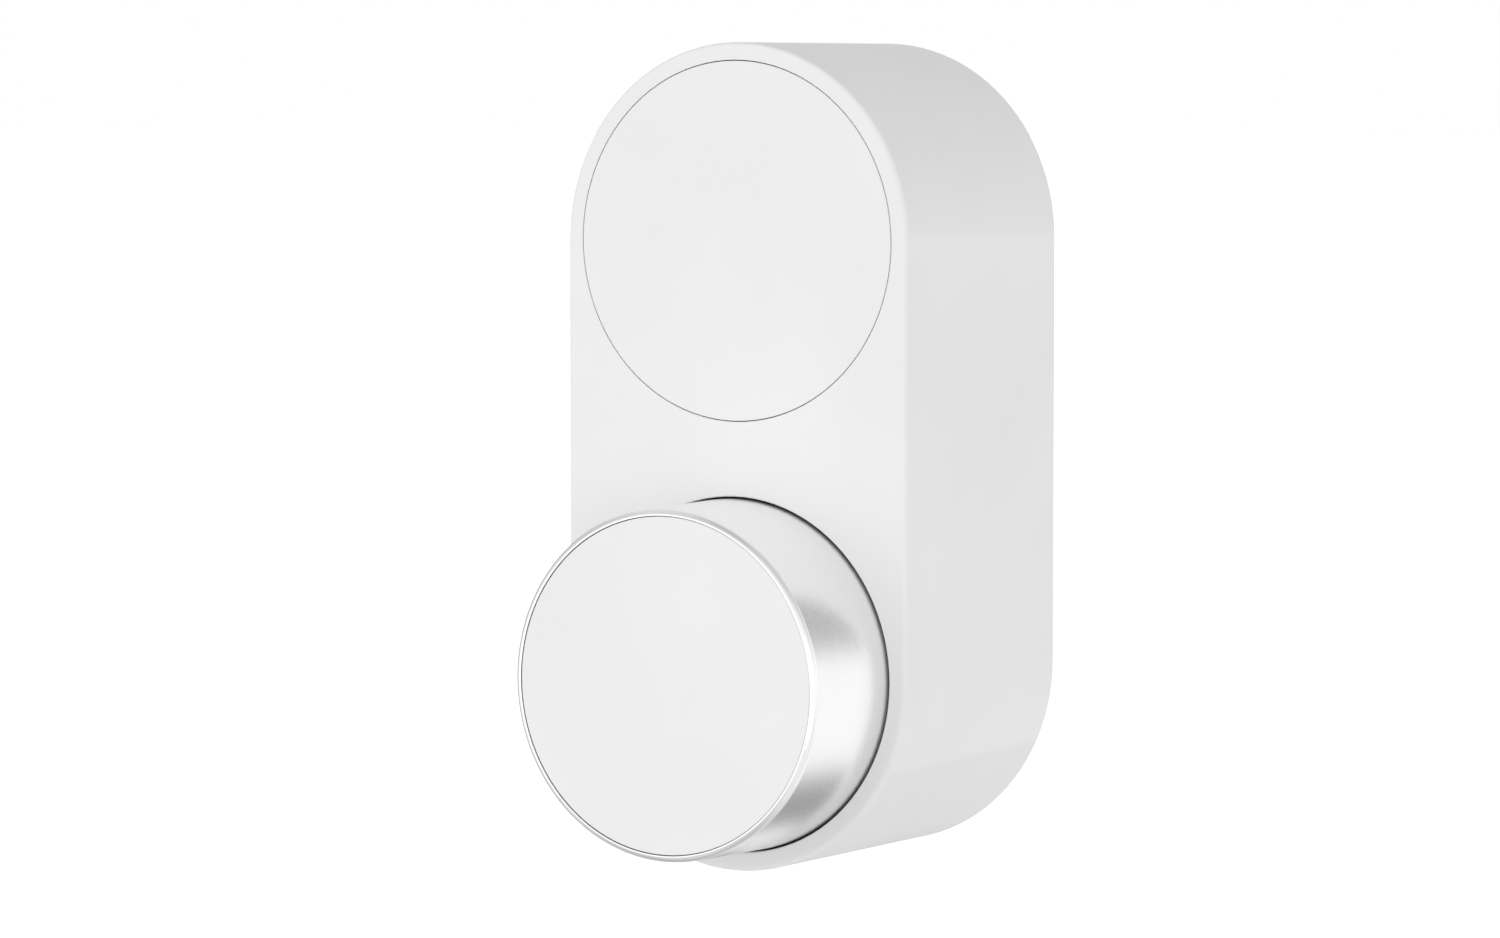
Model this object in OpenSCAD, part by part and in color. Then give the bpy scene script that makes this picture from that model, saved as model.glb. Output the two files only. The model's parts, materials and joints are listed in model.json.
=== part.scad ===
// Retrofit smart door lock: a motor-driven knob unit that sits over a door's thumb-turn.
// Millimetres. Origin on the knob's axis in the plane of the door; +Z up, the knob points to -Y.
// Everything is drawn face-on by facing(): x right, y up, z the distance from the door ("depth").

/* [Body] */
// Width of the pill-shaped body, which is also the diameter of its round ends
body_w = 59; // [59:0.5:62]
// Distance between the centres of the two round ends
end_gap = 64.7; // [64.7:0.1:70]
// Depth of the front face from the door
face_depth = 46; // [46:0.5:50]
// Thickness of the outer wall
wall = 2.2; // [2:0.1:2.2]
// Radius on the edge between the front face and the side
edge_r = 0.8; // [0.3:0.05:1.2]
// Thickness of the foam tape between the plate and the door
pad_t = 0.8; // [0.5:0.1:1]

/* [Knob] */
// How far the knob stands out of the front face
knob_reach = 20; // [18:0.5:24]
// Radius of the battery opening in the front face
opening_r = 26.9; // [26.7:0.05:26.9]
// Radius of the knob where it enters the body
knob_base_r = 26.35; // [26.2:0.05:26.4]
// Radius of the knob at its front
knob_front_r = 26; // [25.8:0.05:26.1]
// Radius of the rounded front edge of the knob
knob_edge_r = 0.8; // [0.4:0.1:0.9]

/* [Thumb-turn] */
// Width of the slot that grips the thumb-turn
slot_w = 9.6; // [6:0.2:12]
// Length of the slot
slot_l = 37; // [30:1:38]
// Radius of the opening in the back
recess_r = 22.2; // [22:0.1:22.2]
// Radius of the adapter that turns in the opening
adapter_r = 21; // [20.8:0.1:21]

/* [Batteries] */
// Radius of one lithium cell
cell_r = 8.5; // [8:0.1:8.5]
// Length of one cell, with its contact
cell_l = 34.5; // [33:0.1:34.5]

/* [Hidden] */
$fn = 96;

eps = 0.01;        // overshoot of a cut past a face
knob_gap = 0.3;    // between the knob and the edge of its hole
snug = 0.02;       // clearance of a fixed piece in its seat
running = 0.04;    // radial clearance of a shaft in its bore
body_r = body_w / 2;
inner_r = body_r - wall;
knob_hole_r = knob_base_r + knob_gap;
knob_hole_bevel = 0.15;
cover_hole_bevel = 0.05;
edge_steps = 6;                     // facets of the rounded front edge
top = [0, end_gap];

// Depths from the door, back to front
rim_d = pad_t;                      // back edge of the housing and of the door plate
plate_t = 2.8;
cover_d = rim_d + plate_t;          // back of the rear cover
cover_t = 2.4;
cover_front_d = cover_d + cover_t;
board_d = 16;                       // back of the circuit board
board_t = 1.6;
board_front_d = board_d + board_t;
tray_d = 19.5;                      // back of the battery tray
tray_floor_t = 1.5;
ledge_d = 41;                       // back of the battery cover's ledge
seat_d = face_depth - 2.8;          // front of that ledge
lid_back_d = seat_d + 0.1;          // back of the battery cover
wall_back_d = face_depth - wall;    // back of the front wall
floor_d = 23.5;                     // back of the gearbox floor
floor_t = 2;
floor_front_d = floor_d + floor_t;
gear_lid_d = 41.5;                  // back of the gearbox cover
gear_lid_t = 2;
gear_lid_front_d = gear_lid_d + gear_lid_t;
knob_back_d = face_depth - 0.8;     // back edge of the knob ring
knob_front_d = face_depth + knob_reach;

// Battery tray and cover
tray_r = 26;
tray_inner_r = 25;
lid_r = opening_r - 0.15;
lid_skin_t = 1.5;
lid_rim_w = 1.6;
lid_bevel = 0.06;
cell_x = 9;
cell_d = tray_d + tray_floor_t + 1.5 + cell_r;
cell_nub_l = 1;
cell_nub_r = 3.4;
contact_t = 0.4;
contact_w = 11;
spring_rise = 1.4;                  // how far the sprung contacts bow towards the cells
cradle_x = 19.4;
magnet_r = 2;
magnet_t = 1.5;
magnet_at = [[0, 22], [20.5, -8.6], [-20.5, -8.6]];
board_post_at = [[-18, -14], [18, -14], [0, 20.5]];
board_post_r = 2.2;
button_at = [21, 8];
light_at = [-21, 8];
button_r = 1.8;
button_head_r = 2.3;
guide_r = 2.9;
guide_top_d = 36.9;

// Fasteners
m2_r = 1;
m2_head_r = 1.9;
m2_head_t = 1.1;
m3_r = 1.5;
m3_head_r = 2.75;
m3_head_t = 1.8;
cross_w = 0.5;                      // width of a cross recess's arms
boss_r = 2.3;
boss_x = 24.9;
lower_boss_y = 20;
middle_boss_y = 46;
short_boss_d = 15;
top_boss_at = [0, end_gap + boss_x];
cover_screw_at = [for (y = [lower_boss_y, middle_boss_y], s = [1, -1]) [s * boss_x, y], top_boss_at];
board_rest_x = 20;                  // posts on the rear cover that the board rests on
board_rest_y = 60;
hook_w = 4;                         // hooks on the rear cover's lower end
hook_t = 1;
hook_reach = 1.1;
hook_at = [-60, -120];
cover_screw_l = 9;
door_hole_r = 2.1;
door_hole_x = 15;                   // half the spacing of the door screws
door_hole_y = [38, 80];
head_pocket_r = 4.4;

// Output line
shaft_r = 4;
shaft_back_d = 18.8;
shaft_front_d = 60;
flat_x = 3;                         // distance of the shaft's flats from its axis
bush_r = 6;
bush_flange_r = 7.5;
hub_r = 7;
coupler_d = 17.5;
coupler_t = 4.8;
adapter_d = 7.5;
adapter_floor_t = 1.5;
adapter_screw_x = 12;
coupler_screw_r = 5.5;
core_back_d = knob_back_d + 0.4;
ring_inner_r = 25;
core_r = ring_inner_r - 0.05;
core_d = 61.6;
core_t = 3;
web_d = 60.4;                       // the knob ring's inner flange
web_r = 20.5;
core_screw_at = 22.7;               // radius of the circle of screws between the ring and the core
core_screw_angles = [90, 210, 330];

// Gear train: each gear's axis is placed from the one that drives it. Modules in mm.
output_teeth = 50;
wheel_teeth = 40;                   // large wheels of the second and third gears
first_wheel_teeth = 36;
third_pinion_teeth = 12;
small_pinion_teeth = 10;            // the motor's, first and second gears' pinions
output_module = 0.8;
middle_module = 0.5;
motor_module = 0.4;
pressure_angle = 25;
addendum = 0.8;                     // in modules
dedendum = 1.05;                    // in modules
flank_steps = 4;
output_d = [27, 31.5];              // depths of the output gear, then of each gear's wheel
third_wheel_d = [32, 35];
second_wheel_d = [36, 38.6];
first_wheel_d = [32, 34.6];
output_play = 0.14;                 // backlash
middle_play = 0.1;
third_dir = 125;
second_dir = 10;
first_dir = 15;
motor_dir = 40;
function polar(r, a) = [r * cos(a), r * sin(a)];
function centre_distance(m, a, b) = m * (a + b) / 2;
third_at = polar(centre_distance(output_module, output_teeth, third_pinion_teeth), third_dir);
second_at = third_at + polar(centre_distance(middle_module, wheel_teeth, small_pinion_teeth), second_dir);
first_at = second_at + polar(centre_distance(middle_module, wheel_teeth, small_pinion_teeth), first_dir);
motor_at = first_at + polar(centre_distance(motor_module, first_wheel_teeth, small_pinion_teeth),
                            motor_dir);
axle_at = [third_at, second_at, first_at];
axle_r = 1;
gear_play = 0.2;                    // end play between the gears and the gearbox
gear_back_d = floor_front_d + gear_play;
gear_front_d = gear_lid_d - gear_play;

// Gearbox outline
box_x = 26.8;
box_y = [2, 42.5];
box_low_r = 23.4;
box_notch_r = 28.8;                 // clears the battery cover's seat
box_wall = 1.6;
lobe_r = 2.6;
lobe_at = [[14, -20.2], [-14, -20.2]];
corner_at = [[24, 39], [-24, 39]];
gear_screw_d = floor_d + m2_head_t + 0.1;

// Motor
motor_r = 7.75;
motor_flat = 6.1;
motor_back_d = 10;
motor_shaft_r = 0.75;
motor_screw_x = 5.2;
motor_screw_at = [motor_at + [motor_screw_x, 0], motor_at - [motor_screw_x, 0]];
motor_collar_r = 3;                 // locating collar round its shaft
motor_tab_x = 4.5;                  // terminals on its end cap
motor_lead_r = 0.6;
sensor_lead_r = 0.9;
sensor_lead_at = [-20, 36];         // where the sensor's lead leaves the gearbox

// Starting angles, so that every pair of gears is in mesh
function mesh_angle(dir, angle, teeth, mate_teeth) =
    dir + 180 - (0.5 - (dir - angle) * teeth / 360) * 360 / mate_teeth;
third_angle = mesh_angle(third_dir, 0, output_teeth, third_pinion_teeth);
second_angle = mesh_angle(second_dir, 0, wheel_teeth, small_pinion_teeth);
first_angle = mesh_angle(first_dir, 0, wheel_teeth, small_pinion_teeth);
motor_angle = mesh_angle(motor_dir, 0, first_wheel_teeth, small_pinion_teeth);

// Colours
white_plastic = [0.93, 0.93, 0.93];
black_plastic = [0.09, 0.09, 0.1];
grey_plastic = [0.32, 0.33, 0.35];
natural_plastic = [0.88, 0.86, 0.8];
aluminium = [0.86, 0.86, 0.87];
steel = [0.62, 0.63, 0.65];
nickel = [0.76, 0.75, 0.72];
bronze = [0.66, 0.47, 0.26];
board_green = [0.05, 0.27, 0.17];

// ---------- Shared shapes ----------

module facing() { rotate([90, 0, 0]) children(); }

module at(p, d = 0) { translate([p[0], p[1], d]) children(); }

module post(p, r, d0, d1) { at(p, d0) cylinder(r = r, h = d1 - d0); }

module tube(r_out, r_in, d0, d1) {
    difference() {
        post([0, 0], r_out, d0, d1);
        post([0, 0], r_in, d0 - eps, d1 + eps);
    }
}

// Outline of a body section: two round ends joined by straight sides
module pill_2d(inset) {
    r = body_r - inset;
    union() {
        circle(r = r);
        translate(top) circle(r = r);
        translate([-r, 0]) square([2 * r, end_gap]);
    }
}

module pill(inset, d0, d1) { at([0, 0], d0) linear_extrude(d1 - d0) pill_2d(inset); }

// Quarter arc of points for a rounded corner
function corner(cx, cy, r, steps) =
    [for (i = [0:steps]) let (a = i * 90 / steps) [cx + r * cos(a), cy + r * sin(a)]];

// The same outline as a solid whose front edge is rounded
module rounded_pill(d0, d1, r_edge) {
    arc = corner(body_r - r_edge, d1 - r_edge, r_edge, edge_steps);
    half = concat([[0, d0], [body_r, d0]], arc, [[0, d1]]);
    back_arc = [for (i = [edge_steps:-1:0]) [-arc[i][0], arc[i][1]]];
    across = concat([[-body_r, d0], [body_r, d0]], arc, back_arc);
    translate(top) rotate_extrude(angle = 180) polygon(half);
    rotate([0, 0, 180]) rotate_extrude(angle = 180) polygon(half);
    translate([0, end_gap, 0]) rotate([90, 0, 0]) linear_extrude(end_gap) polygon(across);
}

// Cross recess cut down from depth d
module cross_recess(reach, deep) {
    for (a = [0, 90]) rotate([0, 0, a]) translate([-reach, -cross_w / 2, -deep])
        cube([2 * reach, cross_w, deep + eps]);
}

// Pan-head screw whose head faces the front (flip = false) or the door (flip = true); d is under its head
module screw(p, d, r, length, head_r, head_t, flip = false) {
    at(p, d) rotate([flip ? 180 : 0, 0, 0]) difference() {
        union() {
            translate([0, 0, -length]) cylinder(r = r, h = length);
            cylinder(r1 = head_r, r2 = head_r * 0.82, h = head_t);
        }
        translate([0, 0, head_t]) cross_recess(head_r * 0.55, head_t * 0.6);
    }
}

// Countersunk screw whose flat head faces the door at depth d
module flat_screw(p, d, r, length, head_r) {
    at(p, d) rotate([180, 0, 0]) difference() {
        union() {
            translate([0, 0, -length]) cylinder(r = r, h = length - 0.5);
            translate([0, 0, -(head_r - r)]) cylinder(r1 = r, r2 = head_r, h = head_r - r);
            translate([0, 0, -(head_r - r) - 0.5]) cylinder(r = r, h = 0.6);
        }
        cross_recess(head_r * 0.55, 0.8);
    }
}

// ---------- Gears ----------

function involute_deg(x) = let (t = tan(x)) t * 180 / PI - x;

// Half the angle of a tooth at radius r
function half_tooth(m, z, play, r) =
    let (rp = m * z / 2, rb = rp * cos(pressure_angle))
    90 / z - play / 4 / rp * 180 / PI + involute_deg(pressure_angle) - involute_deg(acos(min(1, rb / r)));

function flank(m, z, play) =
    let (rp = m * z / 2, ra = rp + addendum * m, r0 = max(rp * cos(pressure_angle), rp - dedendum * m))
    [for (i = [0:flank_steps]) let (r = r0 + (ra - r0) * i / flank_steps) [r, half_tooth(m, z, play, r)]];

// Outline of an involute gear with one tooth at the given angle
function gear_outline(m, z, play, angle) =
    let (f = flank(m, z, play), rr = m * z / 2 - dedendum * m, h0 = f[0][1])
    [for (i = [0:z - 1]) let (c = angle + i * 360 / z) each concat(
        [polar(rr, c - h0)],
        [for (p = f) polar(p[0], c - p[1])],
        [for (k = [flank_steps:-1:0]) polar(f[k][0], c + f[k][1])],
        [polar(rr, c + h0)])];

module gear(m, z, play, angle, d0, d1) {
    at([0, 0], d0) linear_extrude(d1 - d0) polygon(gear_outline(m, z, play, angle));
}

// ---------- Housing ----------

module front_housing() {
    color(white_plastic) facing() difference() {
        union() {
            difference() {
                rounded_pill(rim_d, face_depth, edge_r);
                pill(wall, rim_d - eps, wall_back_d);
            }
            at(top) tube(opening_r + 1.5, opening_r - eps, ledge_d, wall_back_d + eps);
            at(top) tube(opening_r + 0.5, opening_r - 1.5, ledge_d, seat_d);
            for (s = [-1, 1]) {
                wall_boss(s, lower_boss_y, short_boss_d);
                wall_boss(s, middle_boss_y, ledge_d);
            }
            post(top_boss_at, boss_r, cover_front_d, short_boss_d);
            translate([-boss_r, top_boss_at[1], cover_front_d])
                cube([2 * boss_r, wall + 1, short_boss_d - cover_front_d]);
        }
        for (a = hook_at) rotate([0, 0, a]) translate([inner_r - 1, -hook_w / 2 - 0.2, cover_d + 0.3])
            cube([hook_reach + 1, hook_w + 0.4, hook_t + 0.4]);
        post([0, 0], knob_hole_r, wall_back_d - 1, face_depth + eps);
        bevel_hole([0, 0], knob_hole_r, knob_hole_bevel);
        at(top) post([0, 0], opening_r, seat_d, face_depth + eps);
        bevel_hole(top, opening_r, cover_hole_bevel);
        at(top) post([0, 0], opening_r - 1.5, ledge_d - eps, seat_d + eps);
        for (p = cover_screw_at)
            post(p, m2_r + snug, cover_front_d - eps, cover_front_d + cover_screw_l - 1);
        // hole for the screw that locks the unit to the door plate, and a slot for the plate's tongue
        translate([0, -inner_r + 1, rim_d + plate_t / 2]) rotate([90, 0, 0])
            cylinder(r = m2_r + snug, h = wall + 2);
        translate([-6.2, end_gap + inner_r - 1, rim_d + 0.7]) cube([12.4, 2.2, 1.5]);
    }
}

// Bevel round the front edge of a hole in the front face
module bevel_hole(p, r, bevel) {
    at(p, face_depth - bevel) cylinder(r1 = r, r2 = r + bevel + eps, h = bevel + eps);
}

// Screw boss joined to the straight side wall on side s, from the rear cover to depth d
module wall_boss(s, y, d) {
    post([s * boss_x, y], boss_r, cover_front_d, d);
    translate([s > 0 ? boss_x : -inner_r - 0.5, y - 1.8, cover_front_d])
        cube([inner_r + 0.5 - boss_x, 3.6, d - cover_front_d]);
}

module door_hole_grid() {
    for (x = [-door_hole_x, door_hole_x], y = door_hole_y) translate([x, y, 0]) children();
}

module rear_cover() {
    color(grey_plastic) facing() difference() {
        union() {
            pill(wall + 0.3, cover_d, cover_front_d);
            post([0, 0], recess_r + 1.4, cover_d, floor_d - snug);
            for (x = [-board_rest_x, board_rest_x])
                post([x, board_rest_y], board_post_r, cover_front_d - 1, board_d - snug);
            for (a = hook_at) rotate([0, 0, a]) translate([inner_r - 2, -hook_w / 2, cover_d + 0.5])
                cube([1.7 + hook_reach, hook_w, hook_t]);
        }
        post([0, 0], recess_r, cover_d - eps, floor_d + 1);
        for (p = cover_screw_at) {
            post(p, m2_r + 0.1, cover_d - eps, cover_front_d + eps);
            at(p, cover_d - eps) cylinder(r1 = m2_head_r + 0.1, r2 = m2_r + 0.1, h = m2_head_r - m2_r);
        }
        door_hole_grid() post([0, 0], head_pocket_r, cover_d - eps, cover_front_d + eps);
    }
}

module rear_cover_screws() {
    color(steel) facing() for (p = cover_screw_at)
        flat_screw(p, cover_d + 0.05, m2_r, cover_screw_l, m2_head_r);
}

module door_plate() {
    color(steel) facing() difference() {
        union() {
            pill(wall + 0.3, rim_d, cover_d - snug);
            translate([-6, end_gap + inner_r - 1, rim_d + 0.8]) cube([12, 1.8, 1.2]);
        }
        post([0, 0], recess_r, rim_d - eps, cover_d + eps);
        door_hole_grid() {
            post([0, 0], door_hole_r, rim_d - eps, cover_d + eps);
            at([0, 0], cover_d - 1.6) cylinder(r1 = door_hole_r, r2 = head_pocket_r - 0.6, h = 1.6 + eps);
        }
        translate([0, -recess_r + 1, rim_d + plate_t / 2]) rotate([90, 0, 0])
            cylinder(r = m2_r - 0.2, h = wall + 6);
    }
}

module adhesive_pad() {
    color(grey_plastic) facing() difference() {
        pill(wall + 1, 0, rim_d);
        post([0, 0], recess_r + 0.8, -eps, rim_d + eps);
        door_hole_grid() post([0, 0], head_pocket_r, -eps, rim_d + eps);
    }
}

// Socket set screw through the bottom of the housing
module locking_screw() {
    reach = body_r - recess_r - 3.2;
    color(steel) facing() translate([0, -body_r + 0.4, rim_d + plate_t / 2]) rotate([-90, 0, 0])
    difference() {
        union() {
            cylinder(r = m2_r, h = wall - 0.25);
            translate([0, 0, wall - 0.3]) cylinder(r = m2_r - 0.22, h = reach - wall);
        }
        translate([0, 0, -eps]) cylinder(r = 0.5, h = 1.2, $fn = 6);
    }
}

// ---------- Battery compartment ----------

module battery_cover() {
    color(white_plastic) facing() at(top) {
        difference() {
            union() {
                post([0, 0], lid_r, lid_back_d, face_depth - lid_bevel);
                at([0, 0], face_depth - lid_bevel - eps)
                    cylinder(r1 = lid_r, r2 = lid_r - lid_bevel, h = lid_bevel + eps);
            }
            post([0, 0], lid_r - lid_rim_w, lid_back_d - eps, face_depth - lid_skin_t);
        }
        difference() {
            for (p = magnet_at) post(p, magnet_r + 0.8, lid_back_d - 1, face_depth - lid_skin_t + 0.2);
            for (p = magnet_at) post(p, magnet_r + snug, lid_back_d - 1 - eps, lid_back_d + magnet_t - 1);
        }
    }
}

module cover_magnets() {
    color(nickel) facing() at(top) for (p = magnet_at)
        post(p, magnet_r, lid_back_d - 1, lid_back_d - 1 + magnet_t - snug);
}

module battery_tray() {
    post_top = ledge_d - 0.1;
    contact_y = cell_l / 2 + contact_t + spring_rise;
    contact_gap = contact_y - cell_l / 2 + 0.6;
    color(black_plastic) facing() at(top) difference() {
        union() {
            tube(tray_r, tray_inner_r, tray_d, post_top);
            post([0, 0], tray_r - 0.5, tray_d, tray_d + tray_floor_t);
            intersection() {
                translate([-cradle_x, -contact_y - 1.4, tray_d])
                    cube([2 * cradle_x, 2 * contact_y + 2.8, cell_d - tray_d]);
                post([0, 0], tray_r - 0.5, tray_d, cell_d + 1);
            }
            for (p = magnet_at) post(p, magnet_r + 0.7, tray_d, post_top);
            for (p = [button_at, light_at]) post(p, guide_r, tray_d, guide_top_d);
            for (p = board_post_at) post(p, board_post_r, board_front_d, tray_d + 1);
        }
        // troughs for the two cells, and the gap that takes their contacts
        for (x = [-cell_x, cell_x])
            translate([x, 0, cell_d]) rotate([90, 0, 0])
                cylinder(r = cell_r + 0.25, h = cell_l + 0.6, center = true);
        for (s = [-1, 1])
            translate([-cell_x - contact_w / 2 - 0.3, (s * (contact_y + cell_l / 2) - contact_gap) / 2,
                       cell_d - 7])
                cube([2 * cell_x + contact_w + 0.6, contact_gap, 20]);
        for (p = magnet_at) post(p, magnet_r + snug, post_top - magnet_t, post_top + eps);
        post(button_at, button_r + 0.1, tray_d - eps, guide_top_d + eps);
        post(light_at, button_r - 0.3 + snug, tray_d - eps, guide_top_d + eps);
        for (p = board_post_at) post(p, m2_r + snug, board_front_d - eps, tray_d + 0.5);
        // slots for the two terminal tabs
        for (x = [-cell_x, cell_x])
            translate([x - 1.7, cell_l / 2 - 0.2, tray_d - eps]) cube([3.4, contact_gap - 0.2, 12]);
    }
}

module tray_magnets() {
    color(nickel) facing() at(top) for (p = magnet_at)
        post(p, magnet_r, ledge_d - 0.1 - magnet_t + snug, ledge_d - 0.1);
}

// One cylindrical lithium cell; up says which way its raised contact points
module cell(x, up) {
    facing() translate([x, end_gap, cell_d]) rotate([up ? -90 : 90, 0, 0]) {
        body = cell_l - cell_nub_l;
        translate([0, 0, -cell_l / 2]) rotate_extrude() polygon([
            [0, 0], [cell_r - 0.6, 0], [cell_r, 0.6], [cell_r, body - 1.4], [cell_r - 0.7, body - 0.7],
            [cell_r - 0.7, body], [cell_nub_r, body], [cell_nub_r, cell_l - 0.3],
            [cell_nub_r - 0.3, cell_l], [0, cell_l]]);
    }
}

module battery_left() { color([0.16, 0.2, 0.26]) cell(-cell_x, true); }

module battery_right() { color([0.16, 0.2, 0.26]) cell(cell_x, false); }

// Flat end contact at y, with a tab down to the circuit board
module end_tab(x, y) {
    translate([x - contact_w / 2, y, cell_d - 6]) cube([contact_w, contact_t, 11]);
    translate([x - 1.5, y, board_front_d]) cube([3, contact_t, cell_d - board_front_d - 5]);
}

// Leaf bowed by spring_rise over the contact's width, from y towards the cell
function leaf_bow(i, n) = spring_rise * (1 - pow(2 * i / n - 1, 2));
module leaf(x, y, side) {
    n = 10;
    outer = [for (i = [0:n]) [-4.5 + 9 * i / n, leaf_bow(i, n)]];
    inner = [for (i = [n:-1:0]) [-4.5 + 9 * i / n, leaf_bow(i, n) - contact_t]];
    translate([x, y, cell_d - 4]) linear_extrude(7) scale([1, side]) polygon(concat(outer, inner));
}

module positive_contact() {
    color(nickel) facing() at(top) end_tab(-cell_x, cell_l / 2);
}

module negative_contact() {
    y = cell_l / 2 + spring_rise;
    color(nickel) facing() at(top) {
        end_tab(cell_x, y);
        leaf(cell_x, y, -1);
    }
}

// Plate across both cells at the bottom: flat under one, sprung under the other
module bridge_contact() {
    y = -cell_l / 2 - spring_rise - contact_t;
    color(nickel) facing() at(top) {
        translate([-cell_x - contact_w / 2, y, cell_d - 6]) cube([2 * cell_x + contact_w, contact_t, 11]);
        leaf(-cell_x, y + contact_t, 1);
        translate([cell_x - 4, y + contact_t - eps, cell_d - 4]) cube([8, spring_rise + eps, 7]);
    }
}

module setup_button() {
    color(white_plastic) facing() at(top) union() {
        post(button_at, button_r, board_front_d + 2.4, guide_top_d + 1);
        post(button_at, button_head_r, guide_top_d + 0.7, guide_top_d + 1.8);
        post(button_at, button_head_r - 0.4, guide_top_d + 1.7, guide_top_d + 2.1);
    }
}

module switch_stem() {
    color(black_plastic) facing() at(top)
        post(button_at, 0.9, board_front_d + 1, board_front_d + 2.4 - snug);
}

module setup_switch() {
    color(steel) facing() at(top) difference() {
        at(button_at, board_front_d + 0.75) cube([4.4, 4.4, 1.5], center = true);
        post(button_at, 1, board_front_d + 0.4, board_front_d + 2);
    }
}

module status_led() {
    color(natural_plastic) facing() at(top) at(light_at, board_front_d + 0.5)
        cube([2, 1.6, 1], center = true);
}

module light_pipe() {
    color([0.9, 0.93, 0.95]) facing() at(top) union() {
        post(light_at, button_r - 0.3, board_front_d + 1.2, guide_top_d + 0.4);
        post(light_at, button_r + 0.3, guide_top_d, guide_top_d + 0.8);
    }
}

// ---------- Electronics ----------

module circuit_board() {
    color(board_green) facing() difference() {
        intersection() {
            at(top) post([0, 0], 24.8, board_d, board_front_d);
            translate([-23.5, 44, board_d - 1]) cube([47, 60, board_t + 2]);
        }
        for (p = board_post_at) at(top) post(p, m2_r + 0.15, board_d - eps, board_front_d + eps);
        post(top_boss_at, boss_r + 0.4, board_d - eps, board_front_d + eps);
    }
}

module board_screws() {
    color(steel) facing() at(top) for (p = board_post_at)
        screw(p, board_d - snug, m2_r, 4, m2_head_r, m2_head_t, true);
}

// Rectangular component on the back of the board, by its centre and size
module component(p, size, d = board_d) {
    translate([p[0] - size[0] / 2, p[1] - size[1] / 2, d - size[2]]) cube(size);
}

module wireless_module() {
    color(steel) facing() union() {
        component([-11, 72], [13, 18, 0.8]);
        component([-11, 70.5], [11.5, 13.5, 2.4]);
    }
}

module sounder() {
    color(black_plastic) facing() difference() {
        post([11, 75], 6, board_d - 3.6, board_d);
        post([11, 75], 1, board_d - 3.7, board_d - 2.4);
    }
}

module capacitors() {
    color([0.2, 0.2, 0.3]) facing() for (p = [[12, 58], [2, 56]]) {
        post(p, 4, board_d - 8.5, board_d - 1);
        at(p, board_d - 0.5) cube([8.3, 8.3, 1], center = true);
    }
}

module driver_chip() { color(black_plastic) facing() component([-10, 56], [6, 6, 1]); }

// Open-fronted wire connector facing down
module connector(p, w) {
    difference() {
        component(p, [w, 5, 3.4]);
        translate([p[0] - w / 2 + 0.6, p[1] - 3, board_d - 2.9]) cube([w - 1.2, 4, 2.4]);
    }
}

module motor_connector() { color(natural_plastic) facing() connector([10.5, 48], 6); }

module sensor_connector() { color(natural_plastic) facing() connector([-12, 48], 6); }

// ---------- Gearbox ----------

// Outline of the gearbox, inset by i, with the given radius round the output gear
module box_2d(i, low_r) {
    difference() {
        union() {
            circle(r = low_r - i);
            translate([-box_x + i, box_y[0] + i]) square([2 * (box_x - i), box_y[1] - box_y[0] - 2 * i]);
        }
        translate(top) circle(r = box_notch_r + i);
    }
}

module gearbox_base() {
    columns = concat(lobe_at, corner_at);
    color(black_plastic) facing() difference() {
        union() {
            difference() {
                at([0, 0], floor_d) linear_extrude(gear_lid_d - floor_d - snug) box_2d(0, box_low_r);
                at([0, 0], floor_front_d) linear_extrude(gear_lid_d) box_2d(box_wall, box_low_r);
            }
            for (p = columns) post(p, lobe_r, floor_d, gear_lid_d - snug);
        }
        for (p = columns) {
            post(p, m2_r + snug, floor_d - eps, gear_lid_d + 1);
            post(p, m2_head_r + 0.1, floor_d - eps, gear_screw_d);
        }
        for (p = axle_at) post(p, axle_r + snug, floor_d + 0.5, floor_front_d + eps);
        post([0, 0], bush_r + snug, floor_d - eps, floor_front_d + eps);
        post(motor_at, motor_collar_r + 0.05, floor_d - eps, floor_front_d + eps);
        for (p = motor_screw_at) post(p, m2_r - 0.1, floor_d - eps, floor_front_d + eps);
        post(sensor_lead_at, sensor_lead_r + 0.6, floor_d - eps, floor_front_d + eps);
        post([0, 0], output_module * output_teeth / 2 + 1.2, floor_front_d, gear_lid_d);
    }
}

module gearbox_cover() {
    columns = concat(lobe_at, corner_at);
    color(black_plastic) facing() difference() {
        union() {
            at([0, 0], gear_lid_d) linear_extrude(gear_lid_t) box_2d(0.1, inner_r - 0.4);
            post([0, 0], bush_r + 2, gear_lid_d - 2, gear_lid_front_d);
        }
        post([0, 0], bush_r + snug, gear_lid_d - 3, gear_lid_front_d + eps);
        for (p = columns) post(p, m2_r - 0.2, gear_lid_d - eps, gear_lid_front_d - 0.4);
        for (p = axle_at) post(p, axle_r + snug, gear_lid_d - eps, gear_lid_front_d - 0.5);
    }
}

// The screws' threads reach into the cover's smaller holes, so their tips are thinner
module gearbox_screws() {
    color(steel) facing() for (p = concat(lobe_at, corner_at)) {
        screw(p, gear_screw_d - snug, m2_r, gear_lid_d - gear_screw_d - 0.1, m2_head_r, m2_head_t, true);
        post(p, m2_r - 0.22, gear_lid_d - 0.3, gear_lid_front_d - 0.6);
    }
}

module gear_axles() {
    color(steel) facing() for (p = axle_at) post(p, axle_r, floor_d + 0.6, gear_lid_front_d - 0.6);
}

module rear_bushing() {
    color(bronze) facing() difference() {
        union() {
            post([0, 0], bush_r, floor_d, floor_front_d + 0.5);
            post([0, 0], bush_flange_r, floor_front_d + snug, floor_front_d + 1);
        }
        post([0, 0], shaft_r + running, floor_d - eps, floor_front_d + 2);
    }
}

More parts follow.
